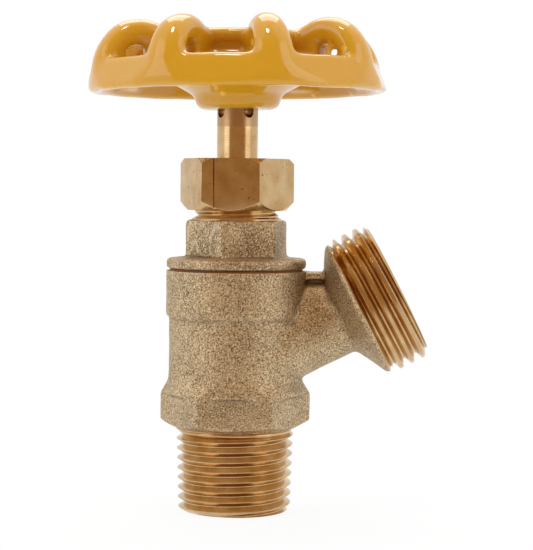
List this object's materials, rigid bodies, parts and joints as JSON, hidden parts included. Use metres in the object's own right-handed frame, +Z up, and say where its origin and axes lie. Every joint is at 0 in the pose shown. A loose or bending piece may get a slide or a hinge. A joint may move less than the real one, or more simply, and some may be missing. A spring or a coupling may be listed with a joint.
{
  "type": "boiler drain valve",
  "caption": "Brass boiler drain valve: male pipe thread below, angled male hose outlet with a web, hexagon bonnet and packing nut, rising stem and lobed yellow handwheel.",
  "frame": {"origin": "centre of the inlet's end face, on the stem's axis", "axes": "+Z up the stem towards the handwheel, +X towards the side where the outlet leans out"},
  "size_m": [0.0629, 0.055, 0.0905],
  "materials": {
    "cast_brass": "sand cast, granular",
    "machined_brass": "turned and milled",
    "yellow_enamel": "thick glossy dip enamel",
    "red_fibre": "vulcanised fibre",
    "graphite_packing": "moulded, dull",
    "black_rubber": "moulded, dull",
    "plated_steel": "zinc plated"
  },
  "bodies": {
    "body": {"valve_body": "cast_brass", "bonnet": "cast_brass", "bonnet_gasket": "red_fibre", "packing_washer": "machined_brass", "packing_ring_1": "graphite_packing", "packing_ring_2": "graphite_packing", "packing_gland": "machined_brass", "packing_nut": "machined_brass"},
    "disc_carrier": {"disc_holder": "machined_brass", "seat_washer": "black_rubber", "seat_washer_screw": "machined_brass"},
    "spindle": {"stem": "machined_brass", "handwheel": "yellow_enamel", "handwheel_washer": "plated_steel", "handwheel_screw": "plated_steel"}
  },
  "joints": [
    {"name": "stem_lift", "type": "slide", "parent": "body", "child": "disc_carrier", "axis": [0, 0, 1], "range_m": [0, 0.00635]},
    {"name": "handwheel_turn", "type": "hinge", "parent": "disc_carrier", "child": "spindle", "pos_m": [0, 0, 0.077], "axis": [0, 0, 1], "range_deg": [0, 1080]}
  ],
  "couplings": [
    {"joint": "handwheel_turn", "follows": "stem_lift", "rad_per_m": 2968.4}
  ]
}
